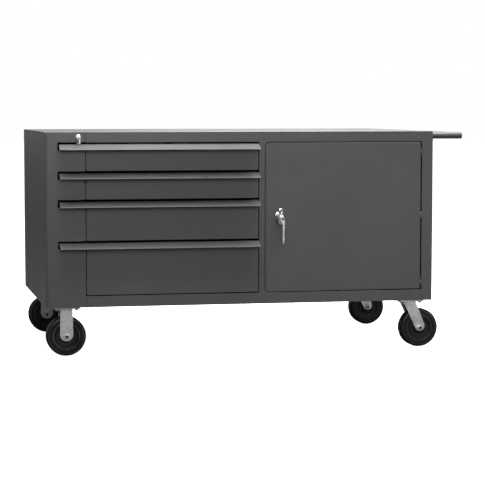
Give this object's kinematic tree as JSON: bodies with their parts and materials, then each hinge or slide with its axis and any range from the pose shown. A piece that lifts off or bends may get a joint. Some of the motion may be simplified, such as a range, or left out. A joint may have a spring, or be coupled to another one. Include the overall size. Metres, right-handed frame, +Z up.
{
  "type": "mobile bench cabinet",
  "caption": "Rolling steel workbench with a flat top over a stack of drawers behind a notched locking flap, a hinged-door cupboard and an end push handle.",
  "frame": {"origin": "middle of the bottom of the overall box, on the floor the casters stand on", "axes": "+X along the bench towards the push handle, +Y from the drawer front to the back, +Z up"},
  "size_m": [1.6636, 0.9758, 0.8572],
  "materials": {
    "body_paint": "dark grey powder coat, satin with a fine orange-peel texture",
    "tray_paint": "dark grey powder coat, satin",
    "slide_steel": "zinc-plated rolled steel, lightly greased",
    "caster_zinc": "bright zinc plate, satin",
    "wheel": "black moulded phenolic, semi-gloss with turned rings",
    "lock_chrome": "polished chrome",
    "key_metal": "nickel-plated key steel"
  },
  "bodies": {
    "cabinet": {"worktop": "body_paint", "back_panel": "body_paint", "bottom_panel": "body_paint", "left_side": "body_paint", "right_side": "body_paint", "left_stile": "body_paint", "drawer_bay_wall": "body_paint", "divider": "body_paint", "top_rail": "body_paint", "bottom_rail": "body_paint", "centre_post": "body_paint", "shelf": "body_paint", "latch_strike": "caster_zinc", "push_handle": "body_paint", "flap_hinge_pin": "caster_zinc", "door_hinge_pin_1": "caster_zinc", "door_hinge_pin_2": "caster_zinc", "door_hinge_pin_3": "caster_zinc", "drawer_1_slide_left": "slide_steel", "drawer_1_slide_right": "slide_steel", "drawer_2_slide_left": "slide_steel", "drawer_2_slide_right": "slide_steel", "drawer_3_slide_left": "slide_steel", "drawer_3_slide_right": "slide_steel", "drawer_4_slide_left": "slide_steel", "drawer_4_slide_right": "slide_steel", "rigid_fork_front": "caster_zinc", "rigid_axle_front": "caster_zinc", "swivel_plate_front": "caster_zinc", "rigid_fork_rear": "caster_zinc", "rigid_axle_rear": "caster_zinc", "swivel_plate_rear": "caster_zinc"},
    "drawer_1": {"drawer_1_front": "body_paint", "drawer_1_tray": "tray_paint"},
    "drawer_2": {"drawer_2_front": "body_paint", "drawer_2_tray": "tray_paint"},
    "drawer_3": {"drawer_3_front": "body_paint", "drawer_3_tray": "tray_paint"},
    "drawer_4": {"drawer_4_front": "body_paint", "drawer_4_tray": "tray_paint"},
    "lock_flap": {"lock_flap": "body_paint", "flap_lock_housing": "lock_chrome"},
    "flap_lock": {"flap_lock_plug": "lock_chrome", "flap_key": "key_metal"},
    "flap_spare_key": {"flap_spare_key": "key_metal"},
    "door": {"door_panel": "body_paint", "door_handle_escutcheon": "lock_chrome"},
    "door_handle": {"door_handle": "lock_chrome", "door_latch_cam": "caster_zinc"},
    "door_key": {"door_key": "key_metal"},
    "door_spare_key": {"door_spare_key": "key_metal"},
    "swivel_fork_front": {"swivel_fork_front": "caster_zinc", "swivel_axle_front": "caster_zinc"},
    "swivel_wheel_front": {"swivel_wheel_front": "wheel"},
    "rigid_wheel_front": {"rigid_wheel_front": "wheel"},
    "swivel_fork_rear": {"swivel_fork_rear": "caster_zinc", "swivel_axle_rear": "caster_zinc"},
    "swivel_wheel_rear": {"swivel_wheel_rear": "wheel"},
    "rigid_wheel_rear": {"rigid_wheel_rear": "wheel"}
  },
  "joints": [
    {"name": "drawer_1_slide", "type": "slide", "parent": "cabinet", "child": "drawer_1", "axis": [0, -1, 0], "range_m": [0, 0.5]},
    {"name": "drawer_2_slide", "type": "slide", "parent": "cabinet", "child": "drawer_2", "axis": [0, -1, 0], "range_m": [0, 0.5]},
    {"name": "drawer_3_slide", "type": "slide", "parent": "cabinet", "child": "drawer_3", "axis": [0, -1, 0], "range_m": [0, 0.5]},
    {"name": "drawer_4_slide", "type": "slide", "parent": "cabinet", "child": "drawer_4", "axis": [0, -1, 0], "range_m": [0, 0.5]},
    {"name": "lock_flap_hinge", "type": "hinge", "parent": "cabinet", "child": "lock_flap", "pos_m": [-0.82825, -0.43005, 0.52387], "axis": [0, 0, -1], "range_deg": [0, 170]},
    {"name": "flap_lock_turn", "type": "hinge", "parent": "lock_flap", "child": "flap_lock", "pos_m": [-0.70585, -0.42885, 0.83625], "axis": [0, 1, 0], "range_deg": [0, 90]},
    {"name": "flap_spare_key_swing", "type": "hinge", "parent": "flap_lock", "child": "flap_spare_key", "pos_m": [-0.70585, -0.45015, 0.83625], "axis": [0, 1, 0], "range_deg": [-20, 20]},
    {"name": "door_hinge", "type": "hinge", "parent": "cabinet", "child": "door", "pos_m": [0.64565, -0.42645, 0.52387], "axis": [0, 0, 1], "range_deg": [0, 120]},
    {"name": "door_handle_turn", "type": "hinge", "parent": "door", "child": "door_handle", "pos_m": [0.07215, -0.43645, 0.52925], "axis": [0, 1, 0], "range_deg": [0, 90]},
    {"name": "door_key_turn", "type": "hinge", "parent": "door_handle", "child": "door_key", "pos_m": [0.07215, -0.45645, 0.52925], "axis": [0, 1, 0], "range_deg": [0, 90]},
    {"name": "door_spare_key_swing", "type": "hinge", "parent": "door_key", "child": "door_spare_key", "pos_m": [0.07215, -0.48095, 0.52925], "axis": [0, 1, 0], "range_deg": [-40, 40]},
    {"name": "swivel_front_turn", "type": "hinge", "parent": "cabinet", "child": "swivel_fork_front", "pos_m": [0.61315, -0.35345, 0.17], "axis": [0, 0, 1], "continuous": true},
    {"name": "swivel_wheel_front_spin", "type": "hinge", "parent": "swivel_fork_front", "child": "swivel_wheel_front", "pos_m": [0.65615, -0.35345, 0.0762], "axis": [0, 1, 0], "continuous": true},
    {"name": "rigid_wheel_front_spin", "type": "hinge", "parent": "cabinet", "child": "rigid_wheel_front", "pos_m": [-0.74985, -0.35345, 0.0762], "axis": [0, 1, 0], "continuous": true},
    {"name": "swivel_rear_turn", "type": "hinge", "parent": "cabinet", "child": "swivel_fork_rear", "pos_m": [0.61315, 0.41495, 0.17], "axis": [0, 0, 1], "continuous": true},
    {"name": "swivel_wheel_rear_spin", "type": "hinge", "parent": "swivel_fork_rear", "child": "swivel_wheel_rear", "pos_m": [0.65615, 0.41495, 0.0762], "axis": [0, 1, 0], "continuous": true},
    {"name": "rigid_wheel_rear_spin", "type": "hinge", "parent": "cabinet", "child": "rigid_wheel_rear", "pos_m": [-0.74985, 0.41495, 0.0762], "axis": [0, 1, 0], "continuous": true}
  ]
}
